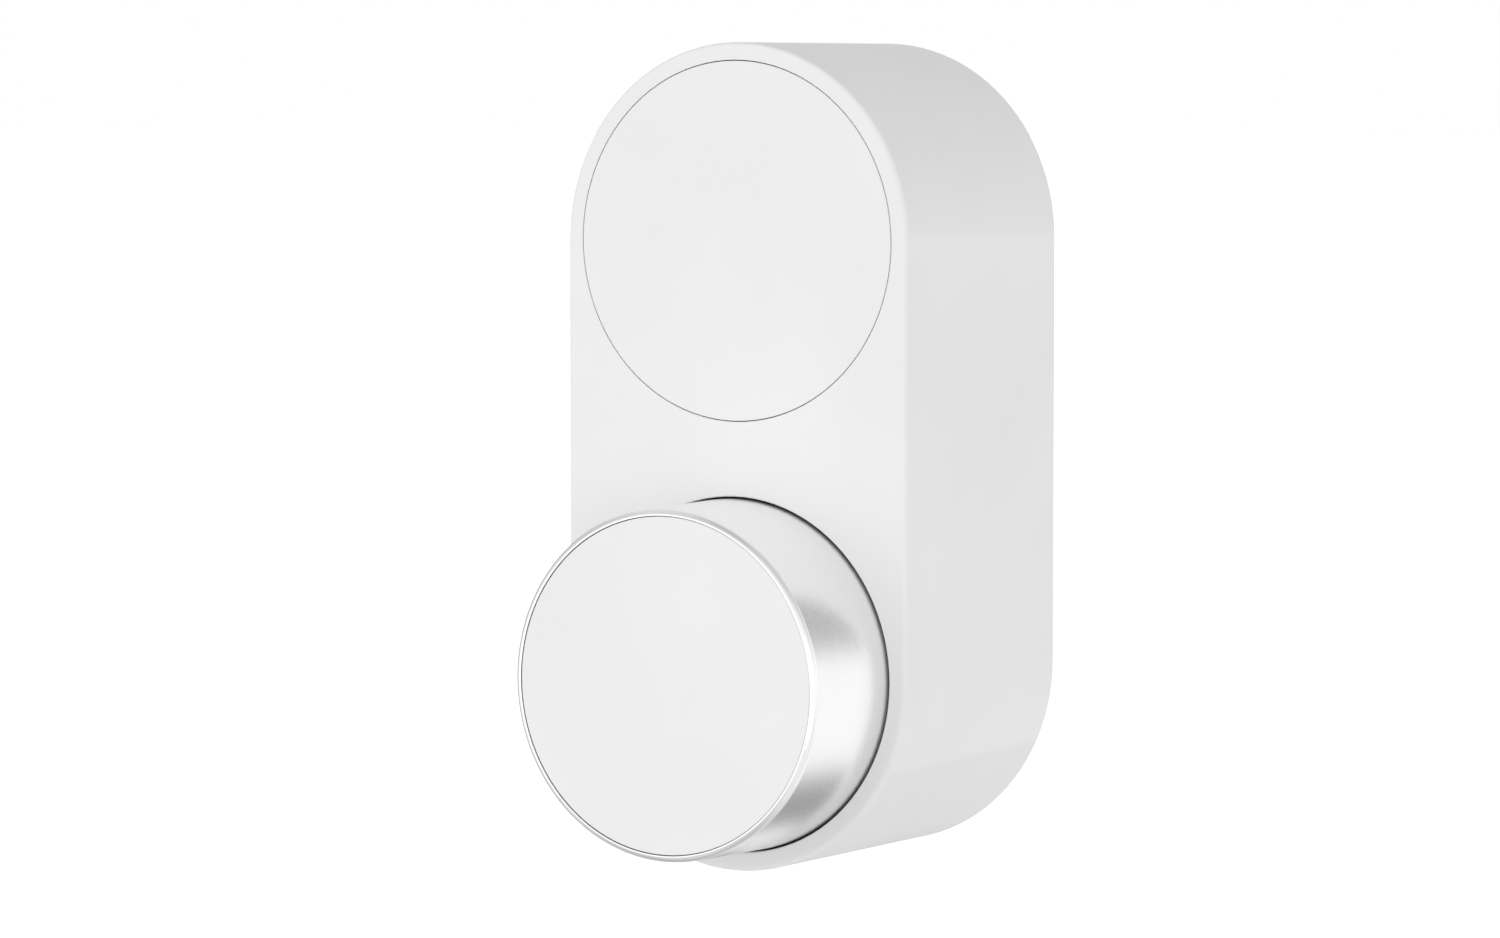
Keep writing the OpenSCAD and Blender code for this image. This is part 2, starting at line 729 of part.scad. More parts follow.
module front_bushing() {
    color(bronze) facing() difference() {
        union() {
            post([0, 0], bush_r, gear_lid_d - 2, gear_lid_front_d + 0.5);
            post([0, 0], bush_flange_r, gear_lid_front_d + snug, gear_lid_front_d + 1);
        }
        post([0, 0], shaft_r + running, gear_lid_d - 3, gear_lid_front_d + 2);
    }
}

// A gear that turns on an axle: its wheel, pinion and spacing hubs, with a bore through all
module axle_gear(bore_to) {
    difference() {
        union() children();
        post([0, 0], axle_r + running, gear_back_d - eps, bore_to + eps);
    }
}

module third_gear() {
    color(natural_plastic) facing() at(third_at) axle_gear(gear_front_d) {
        post([0, 0], 3.2, gear_back_d, output_d[0]);
        gear(output_module, third_pinion_teeth, output_play, third_angle, output_d[0], third_wheel_d[0]);
        gear(middle_module, wheel_teeth, middle_play, 0, third_wheel_d[0], third_wheel_d[1]);
        post([0, 0], 1.9, third_wheel_d[1], gear_front_d);
    }
}

module second_gear() {
    color(natural_plastic) facing() at(second_at) axle_gear(gear_front_d) {
        post([0, 0], 1.6, gear_back_d, third_wheel_d[0]);
        gear(middle_module, small_pinion_teeth, middle_play, second_angle, third_wheel_d[0],
             second_wheel_d[0]);
        gear(middle_module, wheel_teeth, middle_play, 0, second_wheel_d[0], second_wheel_d[1]);
        post([0, 0], 2.6, second_wheel_d[1], gear_front_d);
    }
}

module first_gear() {
    color(natural_plastic) facing() at(first_at) axle_gear(gear_front_d) {
        post([0, 0], 2.5, gear_back_d, first_wheel_d[0]);
        gear(motor_module, first_wheel_teeth, middle_play, 0, first_wheel_d[0], first_wheel_d[1]);
        gear(middle_module, small_pinion_teeth, middle_play, first_angle, first_wheel_d[1],
             second_wheel_d[1] + 0.2);
        post([0, 0], 1.9, second_wheel_d[1] + 0.2, gear_front_d);
    }
}

// ---------- Motor ----------

module drive_motor() {
    color(steel) facing() at(motor_at) difference() {
        union() {
            intersection() {
                post([0, 0], motor_r, motor_back_d, floor_d - snug);
                translate([-10, -motor_flat, 0]) cube([20, 2 * motor_flat, 40]);
            }
            post([0, 0], motor_collar_r, floor_d - 0.5, floor_front_d - 0.6);
        }
        post([0, 0], motor_shaft_r + running, motor_back_d + 8, floor_front_d + 1);
        for (x = [-motor_screw_x, motor_screw_x]) post([x, 0], m2_r - 0.2, floor_d - 3, floor_d + 1);
    }
}

module motor_end_cap() {
    color(black_plastic) facing() at(motor_at) {
        intersection() {
            post([0, 0], motor_r - 0.3, motor_back_d - 1.7, motor_back_d - snug);
            translate([-10, -motor_flat + 0.3, 0]) cube([20, 2 * motor_flat - 0.6, 40]);
        }
        for (x = [-motor_tab_x, motor_tab_x])
            translate([x - 1, -0.2, motor_back_d - 3.2]) cube([2, 0.4, 1.6]);
    }
}

module motor_screws() {
    color(steel) facing() for (p = motor_screw_at) screw(p, floor_front_d + snug, m2_r - 0.22, 4, 1.6, 1);
}

module motor_shaft() {
    color(steel) facing() at(motor_at) post([0, 0], motor_shaft_r, motor_back_d + 8.5, 35.6);
}

module motor_pinion() {
    color(bronze) facing() at(motor_at) difference() {
        gear(motor_module, small_pinion_teeth, middle_play, motor_angle, 31.4, 35.2);
        post([0, 0], motor_shaft_r + snug, 31, 36);
    }
}

// Round lead swept along a cubic curve through four handles
function curve_point(h, t) =
    pow(1 - t, 3) * h[0] + 3 * pow(1 - t, 2) * t * h[1] + 3 * (1 - t) * t * t * h[2] + pow(t, 3) * h[3];
function curve_slope(h, t) =
    3 * pow(1 - t, 2) * (h[1] - h[0]) + 6 * (1 - t) * t * (h[2] - h[1]) + 3 * t * t * (h[3] - h[2]);
function unit(v) = v / norm(v);

module lead(handles, r) {
    rings = 16;
    sides = 8;
    side_ref = [1, 0.13, 0.07];
    points = [for (i = [0:rings]) let (
        t = i / rings,
        c = curve_point(handles, t),
        u = unit(cross(curve_slope(handles, t), side_ref)),
        v = unit(cross(u, curve_slope(handles, t))))
        for (k = [0:sides - 1]) c + r * (cos(360 * k / sides) * u + sin(360 * k / sides) * v)];
    skin = [for (i = [0:rings - 1], k = [0:sides - 1])
        let (a = i * sides + k, b = i * sides + (k + 1) % sides) [a, b, b + sides, a + sides]];
    ends = [[for (k = [sides - 1:-1:0]) k], [for (k = [0:sides - 1]) rings * sides + k]];
    polyhedron(points, concat(skin, ends));
}

module motor_leads() {
    facing() for (s = [-1, 1]) color(s > 0 ? "firebrick" : "black") {
        start = [motor_at[0] + s * motor_tab_x, motor_at[1] + 0.85, motor_back_d - 2.7];
        finish = [10.5 + s * 1.4, 45.6, board_d - 1.7];
        lead([start, start + [0, 10.4, -1.1], finish + [0, -4.6, 0.2], finish], motor_lead_r);
    }
}

// ---------- Output line ----------

module flat_cut(d0, d1) { translate([flat_x, -5, d0]) cube([3, 10, d1 - d0]); }

module output_gear() {
    color(natural_plastic) facing() difference() {
        union() {
            gear(output_module, output_teeth, output_play, 0, output_d[0], output_d[1]);
            post([0, 0], hub_r, output_d[1], 34);
        }
        difference() {
            post([0, 0], shaft_r + snug, output_d[0] - eps, 35);
            translate([flat_x + snug, -5, output_d[0] - 1]) cube([3, 10, output_d[1] - output_d[0] + 0.9]);
        }
        for (a = [30:60:330]) post(polar(12.8, a), 3.6, output_d[0] - eps, output_d[1] + eps);
    }
}

module output_shaft() {
    color(steel) facing() difference() {
        post([0, 0], shaft_r, shaft_back_d, shaft_front_d);
        flat_cut(shaft_back_d - 1, output_d[1]);
        flat_cut(core_back_d - 0.3, shaft_front_d + 1);
        difference() {
            post([0, 0], shaft_r + 1, 22.7, 23.3);
            post([0, 0], shaft_r - 0.6, 22.6, 23.4);
        }
        post([0, 0], m3_r + snug, shaft_front_d - 9, shaft_front_d + eps);
        post([0, 0], m3_r + snug, shaft_back_d - eps, shaft_back_d + 6);
    }
}

module shaft_clip() {
    color(steel) facing() difference() {
        tube(6.4, shaft_r - 0.6 + snug, 22.75, 23.25);
        translate([-2.4, -8, 22]) cube([4.8, 8, 2]);
    }
}

module encoder_magnet() {
    color([0.25, 0.25, 0.27]) facing() tube(9, shaft_r + snug, 34.1, 36.6);
}

module position_sensor() {
    color(board_green) facing() {
        translate([-5, -17, gear_lid_d - 1.3]) cube([10, 7, 1.2]);
        translate([-1.5, -12.9, gear_lid_d - 2.3]) cube([3, 2.5, 1]);
    }
}

module sensor_lead() {
    color([0.75, 0.75, 0.72]) facing() {
        start = [sensor_lead_at[0], sensor_lead_at[1], floor_d - 0.4];
        finish = [-12, 45.6, board_d - 1.7];
        lead([start, start - [0, -1, 5], finish - [0, 7, -1], finish], sensor_lead_r);
    }
}

module thrust_washer() {
    color(natural_plastic) facing() tube(8, shaft_r + 0.2, gear_lid_front_d + 1.1, knob_back_d + 0.3);
}

// ---------- Knob ----------

module knob_ring() {
    arc = corner(knob_front_r - knob_edge_r, knob_front_d - knob_edge_r, knob_edge_r, edge_steps);
    color(aluminium) facing() difference() {
        rotate_extrude($fn = 180) polygon(concat(
            [[ring_inner_r, knob_back_d], [knob_base_r, knob_back_d]], arc,
            [[ring_inner_r, knob_front_d], [ring_inner_r, core_d - snug], [web_r, core_d - snug],
             [web_r, web_d], [ring_inner_r, web_d]]));
        for (a = core_screw_angles) post(polar(core_screw_at, a), m2_r + 0.1, web_d - 1, core_d + 1);
    }
}

module knob_face() {
    color(white_plastic) facing() union() {
        post([0, 0], ring_inner_r - 0.15, core_d + core_t + snug, knob_front_d - 0.3);
        post([0, 0], ring_inner_r - 0.3, knob_front_d - 0.4, knob_front_d - 0.15);
    }
}

module knob_core() {
    rib_l = 11;
    color(grey_plastic) facing() difference() {
        union() {
            post([0, 0], core_r, core_d, core_d + core_t);
            post([0, 0], web_r - 0.5, core_d - 1, core_d + 0.1);
            post([0, 0], 9, core_back_d, core_d);
            for (a = [0:45:315]) rotate([0, 0, a]) translate([8.5, 0.8, 0]) rotate([90, 0, 0])
                linear_extrude(1.6) polygon([[0, core_back_d + 1], [0, core_d - 0.5], [rib_l, core_d - 0.5],
                                             [rib_l, core_d - 4]]);
        }
        difference() {
            post([0, 0], shaft_r + snug, core_back_d - eps, shaft_front_d + 0.2);
            translate([flat_x + snug, -5, core_back_d - 1]) cube([3, 10, 20]);
        }
        post([0, 0], m3_r + 0.1, shaft_front_d, core_d + core_t + 1);
        post([0, 0], m3_head_r + 0.2, core_d + core_t - m3_head_t - 0.2, core_d + core_t + 1);
        for (a = core_screw_angles) post(polar(core_screw_at, a), m2_r + snug, core_d - eps, core_d + 2.4);
    }
}

module knob_core_screws() {
    color(steel) facing() for (a = core_screw_angles)
        screw(polar(core_screw_at, a), web_d - snug, m2_r, 3.4, m2_head_r, m2_head_t, true);
}

module knob_centre_screw() {
    color(steel) facing() screw([0, 0], core_d + core_t - m3_head_t - 0.1, m3_r, 9, m3_head_r, m3_head_t);
}

// ---------- Thumb-turn drive ----------

module drive_coupler() {
    color(aluminium) facing() difference() {
        post([0, 0], 17.5, coupler_d + snug, coupler_d + coupler_t);
        difference() {
            post([0, 0], shaft_r + snug, coupler_d - eps, coupler_d + coupler_t + eps);
            translate([flat_x + snug, -5, coupler_d - 1]) cube([3, 10, 8]);
        }
        post([0, 0], coupler_screw_r + 0.2, coupler_d - eps, shaft_back_d - 0.1);
        for (s = [-1, 1]) post([s * adapter_screw_x, 0], m2_r + snug, coupler_d - eps, coupler_d + 4);
        tube(15.5, 8, coupler_d + 2.4, coupler_d + coupler_t + 1);
    }
}

module coupler_screw() {
    color(steel) facing() screw([0, 0], shaft_back_d - 0.1 - snug, m3_r, 5, coupler_screw_r, 1, true);
}

// Cup with a slot for the thumb-turn, ribbed round the slot
module thumb_turn_adapter() {
    slot_back = coupler_d - adapter_floor_t;
    color(white_plastic) facing() difference() {
        union() {
            tube(adapter_r, adapter_r - 1.8, adapter_d, coupler_d);
            post([0, 0], adapter_r - 0.5, slot_back, coupler_d);
            translate([-slot_w / 2 - 2, -slot_l / 2 - 1.4, adapter_d])
                cube([slot_w + 4, slot_l + 2.8, 9.5]);
            for (s = [-1, 1], y = [-12, -6, 6, 12])
                translate([s > 0 ? slot_w / 2 + 1 : -19 + abs(y) / 3, y - 0.7, adapter_d + 1])
                    cube([13.2 - abs(y) / 3, 1.4, 8.5]);
            for (s = [-1, 1]) post([s * adapter_screw_x, 0], 2.6, slot_back - 3, coupler_d);
        }
        translate([-slot_w / 2, -slot_l / 2, adapter_d - 1])
            cube([slot_w, slot_l, slot_back - adapter_d + 1]);
        post([0, 0], m3_head_r + 0.5, slot_back - 1, coupler_d + 1);
        for (s = [-1, 1]) {
            post([s * adapter_screw_x, 0], m2_r + 0.1, slot_back - 4, coupler_d + 1);
            post([s * adapter_screw_x, 0], m2_head_r + 0.1, slot_back - 4, slot_back - 1.5);
        }
    }
}

module adapter_screws() {
    color(steel) facing() for (s = [-1, 1])
        screw([s * adapter_screw_x, 0], coupler_d - adapter_floor_t - 1.5 - snug, m2_r, 6, m2_head_r,
              m2_head_t, true);
}

front_housing();
rear_cover();
rear_cover_screws();
door_plate();
adhesive_pad();
locking_screw();
battery_cover();
cover_magnets();
battery_tray();
tray_magnets();
battery_left();
battery_right();
positive_contact();
negative_contact();
bridge_contact();
setup_button();
switch_stem();
setup_switch();
status_led();
light_pipe();
circuit_board();
wireless_module();
sounder();
capacitors();
driver_chip();
motor_connector();
sensor_connector();
board_screws();
gearbox_base();
gearbox_cover();
gearbox_screws();
gear_axles();
rear_bushing();
front_bushing();
drive_motor();
motor_end_cap();
motor_screws();
motor_shaft();
motor_pinion();
motor_leads();
first_gear();
second_gear();
third_gear();
output_gear();
output_shaft();
shaft_clip();
encoder_magnet();
position_sensor();
sensor_lead();
thrust_washer();
knob_ring();
knob_face();
knob_core();
knob_core_screws();
knob_centre_screw();
drive_coupler();
coupler_screw();
thumb_turn_adapter();
adapter_screws();
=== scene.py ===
"""Looks for a retrofit smart door lock: a white pill-shaped body, a round battery cover and a metal-edged knob.

Metres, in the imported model's frame: +Z is up, the knob points to -Y, and the origin is on its axis at the door.
"""
import json
import math

import bmesh
import bpy
from mathutils import Matrix, Vector


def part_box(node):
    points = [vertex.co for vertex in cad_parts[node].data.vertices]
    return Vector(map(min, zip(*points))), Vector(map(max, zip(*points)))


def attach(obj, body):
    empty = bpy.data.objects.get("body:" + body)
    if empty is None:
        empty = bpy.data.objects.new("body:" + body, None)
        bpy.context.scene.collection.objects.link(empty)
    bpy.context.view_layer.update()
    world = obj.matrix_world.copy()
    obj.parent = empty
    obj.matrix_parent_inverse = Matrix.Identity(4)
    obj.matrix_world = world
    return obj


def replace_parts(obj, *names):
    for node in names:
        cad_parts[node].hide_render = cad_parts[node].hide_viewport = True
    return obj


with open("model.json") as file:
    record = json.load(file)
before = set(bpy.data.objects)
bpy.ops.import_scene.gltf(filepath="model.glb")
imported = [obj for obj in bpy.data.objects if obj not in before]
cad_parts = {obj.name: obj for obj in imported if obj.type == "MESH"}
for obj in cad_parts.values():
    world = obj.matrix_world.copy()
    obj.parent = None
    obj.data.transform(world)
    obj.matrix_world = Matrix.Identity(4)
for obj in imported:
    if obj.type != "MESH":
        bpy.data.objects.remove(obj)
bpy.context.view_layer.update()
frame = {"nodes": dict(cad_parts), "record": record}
NODES = frame["nodes"]
SLOT_OF = {s["node"]: s["material_slot"] for s in frame["record"]["subparts"]}
MM = 0.001


# ---------- Camera and studio ----------

CAMERA_PLACE = Vector((0.46407, -0.80240, 0.08869))
CAMERA_RIGHT = Vector((0.853710, 0.520749, 0.000462))
CAMERA_FORWARD = Vector((-0.519618, 0.851913, -0.065126))
LENS_MM = 143.29
SENSOR_MM = 36.0
FLOOR_Z = -0.13
FLOOR_HALF_WIDTH = 20.0
FLOOR_GLOW = 0.5

# Light from every side, and soft panels: direction, outer and inner half-angle in degrees, and added light.
# A negative amount is a dark flag.
BASE_LIGHT = 1.05
LEAST_LIGHT = 0.02
SOFT_PANELS = (
    ((-0.50, -0.86, -0.06), 25.0, 8.0, 0.30),
    ((-0.52, -0.40, 0.76), 50.0, 15.0, -0.32),
    ((0.10, -0.75, 0.65), 38.0, 10.0, -0.16),
    ((-0.35, -0.45, -0.82), 48.0, 15.0, -0.32),
    ((0.20, -0.74, -0.65), 36.0, 10.0, -0.14),
    ((-0.81, -0.15, -0.57), 35.0, 10.0, -0.20),
    ((-0.95, 0.00, 0.30), 35.0, 10.0, -0.22),
    ((-0.87, 0.48, -0.08), 34.0, 12.0, -0.60),
    ((0.50, 0.00, 0.87), 60.0, 10.0, -0.38),
    ((-0.66, 0.62, 0.42), 28.0, 8.0, -0.28),
    ((-0.35, 0.60, 0.72), 32.0, 10.0, -0.28),
    ((0.65, 0.00, -0.76), 52.0, 10.0, -0.14),
    ((-0.05, 0.20, -0.97), 45.0, 10.0, -0.28),
    ((-0.62, 0.50, -0.60), 36.0, 10.0, -0.36),
    ((0.42, 0.84, 0.32), 17.0, 4.0, -0.62),
    ((0.02, 0.84, -0.54), 17.0, 3.0, -0.76),
    ((-0.50, 0.85, -0.14), 16.0, 6.0, -0.72),
)
# Panels that only light matt surfaces: more from in front and from underneath, less from the top and from low
# in front.
SHADING_PANELS = (
    ((0.00, -1.00, 0.00), 50.0, 10.0, 0.18),
    ((-0.35, -0.80, 0.48), 45.0, 10.0, 0.60),
    ((0.10, -0.80, -0.60), 45.0, 10.0, -0.50),
    ((0.05, 0.10, 0.99), 50.0, 10.0, -0.28),
    ((-0.20, 0.30, -0.93), 46.0, 10.0, 0.80),
)


def make_camera():
    data = bpy.data.cameras.new("camera")
    data.lens, data.sensor_width, data.sensor_fit = LENS_MM, SENSOR_MM, "HORIZONTAL"
    data.clip_start, data.clip_end = 0.01, 50.0
    camera = bpy.data.objects.new("camera", data)
    bpy.context.scene.collection.objects.link(camera)
    up = CAMERA_RIGHT.cross(CAMERA_FORWARD)
    turn = Matrix((CAMERA_RIGHT, up, -CAMERA_FORWARD)).transposed()
    camera.matrix_world = Matrix.Translation(CAMERA_PLACE) @ turn.to_4x4()
    bpy.context.scene.camera = camera


def area_light(name, place, aim, size, power):
    data = bpy.data.lights.new(name, "AREA")
    data.shape, data.size, data.energy = "DISK", size, power
    lamp = bpy.data.objects.new(name, data)
    lamp.location = place
    lamp.rotation_mode = "QUATERNION"
    lamp.rotation_quaternion = (Vector(aim) - Vector(place)).to_track_quat("-Z", "Y")
    lamp.visible_camera = False
    bpy.context.scene.collection.objects.link(lamp)


# ---------- Node helpers ----------

class Tree:
    """Short calls for building a node tree."""

    def __init__(self, owner):
        owner.use_nodes = True
        self.nodes, self.links = owner.node_tree.nodes, owner.node_tree.links
        self.nodes.clear()

    def add(self, kind, settings=None, **inputs):
        node = self.nodes.new("ShaderNode" + kind)
        for key, value in (settings or {}).items():
            setattr(node, key, value)
        for key, value in inputs.items():
            self.feed(node, key.replace("_", " "), value)
        return node

    def feed(self, node, key, value):
        socket = node.inputs[int(key[1:])] if key[0] == "i" and key[1:].isdigit() else node.inputs[key]
        if isinstance(value, bpy.types.NodeSocket):
            self.links.new(value, socket)
        else:
            socket.default_value = value

    def math(self, operation, a, b=0.0, c=0.0):
        return self.add("Math", {"operation": operation}, i0=a, i1=b, i2=c).outputs[0]

    def vector(self, operation, a, b=(0, 0, 0)):
        node = self.add("VectorMath", {"operation": operation}, i0=a, i1=b)
        return node.outputs["Value" if operation == "DOT_PRODUCT" else "Vector"]

    def ramp(self, value, low, high, to_low=0.0, to_high=1.0, smooth=True):
        kind = "SMOOTHSTEP" if smooth else "LINEAR"
        limits = {"i1": low, "i2": high, "i3": to_low, "i4": to_high}
        return self.add("MapRange", {"interpolation_type": kind}, i0=value, **limits).outputs[0]

    def mix(self, factor, a, b):
        node = self.add("Mix", {"data_type": "RGBA"}, i0=factor)
        self.feed(node, "i6", a)
        self.feed(node, "i7", b)
        return node.outputs[2]

    def noise(self, where, scale, detail=2.0, roughness=0.5):
        node = self.add("TexNoise", None, Vector=where, Scale=scale, Detail=detail, Roughness=roughness)
        return node.outputs[0]


def grey(value):
    return (value, value, value, 1.0)


def with_panels(tree, way, light, panels):
    """The light, plus each panel's amount inside its soft cone of directions."""
    for toward, outer, inner, amount in panels:
        near = tree.vector("DOT_PRODUCT", way, Vector(toward).normalized())
        edge, core = math.cos(math.radians(outer)), math.cos(math.radians(inner))
        light = tree.math("ADD", light, tree.ramp(near, edge, core, 0.0, amount))
    return light


def make_world():
    """White for the lens; for light and reflections, soft panels of unequal brightness around the object."""
    world = bpy.data.worlds.new("studio")
    bpy.context.scene.world = world
    tree = Tree(world)
    way = tree.vector("NORMALIZE", tree.add("TexCoord").outputs["Generated"])
    path = tree.add("LightPath").outputs
    light = with_panels(tree, way, BASE_LIGHT, SOFT_PANELS)
    shading = tree.math("MULTIPLY", with_panels(tree, way, 0.0, SHADING_PANELS), path["Is Diffuse Ray"])
    light = tree.math("MAXIMUM", tree.math("ADD", light, shading), LEAST_LIGHT)
    light = tree.ramp(path["Is Camera Ray"], 0.0, 1.0, light, 1.0, smooth=False)
    shader = tree.add("Background", None, Strength=light)
    shader.inputs["Color"].default_value = grey(1.0)
    out = tree.add("OutputWorld")
    tree.links.new(shader.outputs[0], out.inputs["Surface"])


# ---------- Materials ----------

def start_material(name, **settings):
    """A material with a Principled shader, its tree, and the surface's place in the model's own frame."""
    made = bpy.data.materials.new(name)
    tree = Tree(made)
    shader = tree.add("BsdfPrincipled")
    for key, value in settings.items():
        shader.inputs[key.replace("_", " ")].default_value = value
    out = tree.add("OutputMaterial")
    tree.links.new(shader.outputs[0], out.inputs["Surface"])
    return made, tree, shader, tree.add("TexCoord").outputs["Object"]


def tinted(tree, where, colour, spread, scale):
    """The colour, a little lighter and darker in soft clouds."""
    darker = [c * (1 - spread) for c in colour] + [1.0]
    lighter = [min(1.0, c * (1 + spread)) for c in colour] + [1.0]
    cloud = tree.ramp(tree.noise(where, scale, 3.0), 0.3, 0.7)
    return tree.mix(cloud, darker, lighter)


def bump(tree, shader, height, distance):
    node = tree.add("Bump", None, Strength=1.0, Distance=distance, Height=height)
    tree.links.new(node.outputs[0], shader.inputs["Normal"])


def moulded_plastic(name, colour, rough, grain=0.35, depth=0.006, spread=0.015, **settings):
    """Moulded plastic with a fine spark-eroded grain; grain and depth are in millimetres."""
    made, tree, shader, where = start_material(name, **settings)
    tree.feed(shader, "Base Color", tinted(tree, where, colour, spread, 35.0))
    patchy = tree.noise(where, 90.0, 4.0)
    tree.feed(shader, "Roughness", tree.ramp(patchy, 0.3, 0.7, rough - 0.035, rough + 0.035))
    grains = tree.noise(where, 1.0 / (grain * MM), 3.0, 0.6)
    flow = tree.noise(where, 45.0, 1.0)
    bump(tree, shader, tree.math("MULTIPLY_ADD", flow, 0.6, grains), depth * MM)
    return made


def around_axis(tree, where):
    """Radius, angle in turns, and depth from the door of a point, about the knob's axis."""
    x, y, z = tree.add("SeparateXYZ", None, Vector=where).outputs
    squares = tree.math("MULTIPLY", x, x), tree.math("MULTIPLY", z, z)
    radius = tree.math("SQRT", tree.math("ADD", *squares))
    angle = tree.math("DIVIDE", tree.math("ARCTAN2", z, x), 2 * math.pi)
    return radius, angle, tree.math("MULTIPLY", y, -1.0)


def turned_metal(name, colour, rough, line=0.06, depth=0.0012, blast=0.0):
    """Metal turned on a lathe about the knob's axis: fine rings, and a blasted grain by the share in blast."""
    made, tree, shader, where = start_material(name, Metallic=1.0)
    tree.feed(shader, "Base Color", tinted(tree, where, colour, 0.01, 60.0))
    radius, angle, deep = around_axis(tree, where)
    around = tree.math("MULTIPLY", angle, 0.002)
    rings = tree.add("CombineXYZ", None, X=radius, Y=deep, Z=around).outputs[0]
    lines = tree.noise(rings, 1.0 / (line * MM), 2.0)
    grains = tree.noise(where, 1.0 / (0.12 * MM), 3.0, 0.7)
    turned, blasted = tree.math("MULTIPLY", lines, 1.0 - blast), tree.math("MULTIPLY", grains, blast)
    height = tree.math("ADD", turned, blasted)
    tree.feed(shader, "Roughness", tree.ramp(grains, 0.3, 0.7, rough - 0.03, rough + 0.03))
    bump(tree, shader, height, depth * MM)
    return made


def rolled_metal(name, colour, rough, grain=0.15, depth=0.002, stretch=(1.0, 1.0, 12.0)):
    """Sheet or bar metal with a faint rolled grain and small stains."""
    made, tree, shader, where = start_material(name, Metallic=1.0)
    tree.feed(shader, "Base Color", tinted(tree, where, colour, 0.05, 120.0))
    drawn = tree.vector("MULTIPLY", where, tuple(1.0 / s for s in stretch))
    lines = tree.noise(drawn, 1.0 / (grain * MM), 3.0, 0.6)
    tree.feed(shader, "Roughness", tree.ramp(lines, 0.25, 0.75, rough - 0.07, rough + 0.07))
    bump(tree, shader, lines, depth * MM)
    return made


def foam(name, colour):
    """Closed-cell foam tape."""
    made, tree, shader, where = start_material(name, Roughness=0.9)
    cells = tree.add("TexVoronoi", None, Vector=where, Scale=1.0 / (0.45 * MM)).outputs[0]
    wall = [c * 0.55 for c in colour] + [1.0]
    tree.feed(shader, "Base Color", tree.mix(tree.ramp(cells, 0.1, 0.6), wall, [*colour, 1.0]))
    bump(tree, shader, cells, 0.05 * MM)
    return made


def sintered(name, colour):
    """Porous bearing metal, darkened by oil."""
    made, tree, shader, where = start_material(name, Metallic=1.0)
    cells = tree.add("TexVoronoi", None, Vector=where, Scale=1.0 / (0.25 * MM)).outputs[0]
    pores = tree.ramp(cells, 0.05, 0.35)
    tree.feed(shader, "Base Color", tree.mix(pores, [c * 0.4 for c in colour] + [1.0], [*colour, 1.0]))
    tree.feed(shader, "Roughness", tree.ramp(pores, 0.0, 1.0, 0.7, 0.36))
    bump(tree, shader, pores, 0.01 * MM)
    return made


def circuit_mask(name):
    """Green solder mask over raised copper tracks, with bare pads."""
    made, tree, shader, where = start_material(name, Coat_Weight=0.3, Coat_Roughness=0.15)
    grid = tree.add(
        "TexBrick", {"offset": 0.5, "squash": 1.0}, Vector=tree.vector("MULTIPLY", where, (1.0, 0.0, 1.0)),
        Scale=300.0, Mortar_Size=0.03, Mortar_Smooth=0.2, Brick_Width=0.9, Row_Height=0.35,
    )
    track = tree.ramp(grid.outputs["Fac"], 0.2, 0.8)
    holes = tree.add("TexVoronoi", None, Vector=where, Scale=1.0 / (2.6 * MM)).outputs[0]
    pad = tree.ramp(holes, 0.16, 0.13)
    mask = tree.mix(track, (0.010, 0.075, 0.040, 1.0), (0.022, 0.150, 0.075, 1.0))
    tree.feed(shader, "Base Color", tree.mix(pad, mask, (0.80, 0.62, 0.28, 1.0)))
    tree.feed(shader, "Metallic", pad)
    tree.feed(shader, "Roughness", tree.ramp(pad, 0.0, 1.0, 0.38, 0.25))
    bump(tree, shader, tree.math("ADD", track, pad), 0.035 * MM)
    return made


WIRES_SPLIT_X = 12.9


def two_wires(name):
    """Black insulation up to WIRES_SPLIT_X, in millimetres, and red beyond it."""
    made, tree, shader, where = start_material(name, Roughness=0.45)
    x = tree.add("SeparateXYZ", None, Vector=where).outputs[0]
    side = tree.ramp(x, WIRES_SPLIT_X * MM, (WIRES_SPLIT_X + 0.1) * MM, smooth=False)
    tree.feed(shader, "Base Color", tree.mix(side, (0.02, 0.02, 0.022, 1.0), (0.45, 0.03, 0.025, 1.0)))
    bump(tree, shader, tree.noise(where, 1.0 / (0.4 * MM), 2.0), 0.02 * MM)
    return made


# Marks on a cell, in millimetres from its middle towards its positive end.
BAND_FROM = 9.2
PLUS_AT, MINUS_AT = 12.4, -13.0
SIGN_HALF_STROKE, SIGN_HALF_LENGTH = 0.45, 1.9
SLEEVE_TOP, SLEEVE_BOTTOM = 15.3, -16.5
PRINT_DEPTH = 4.0


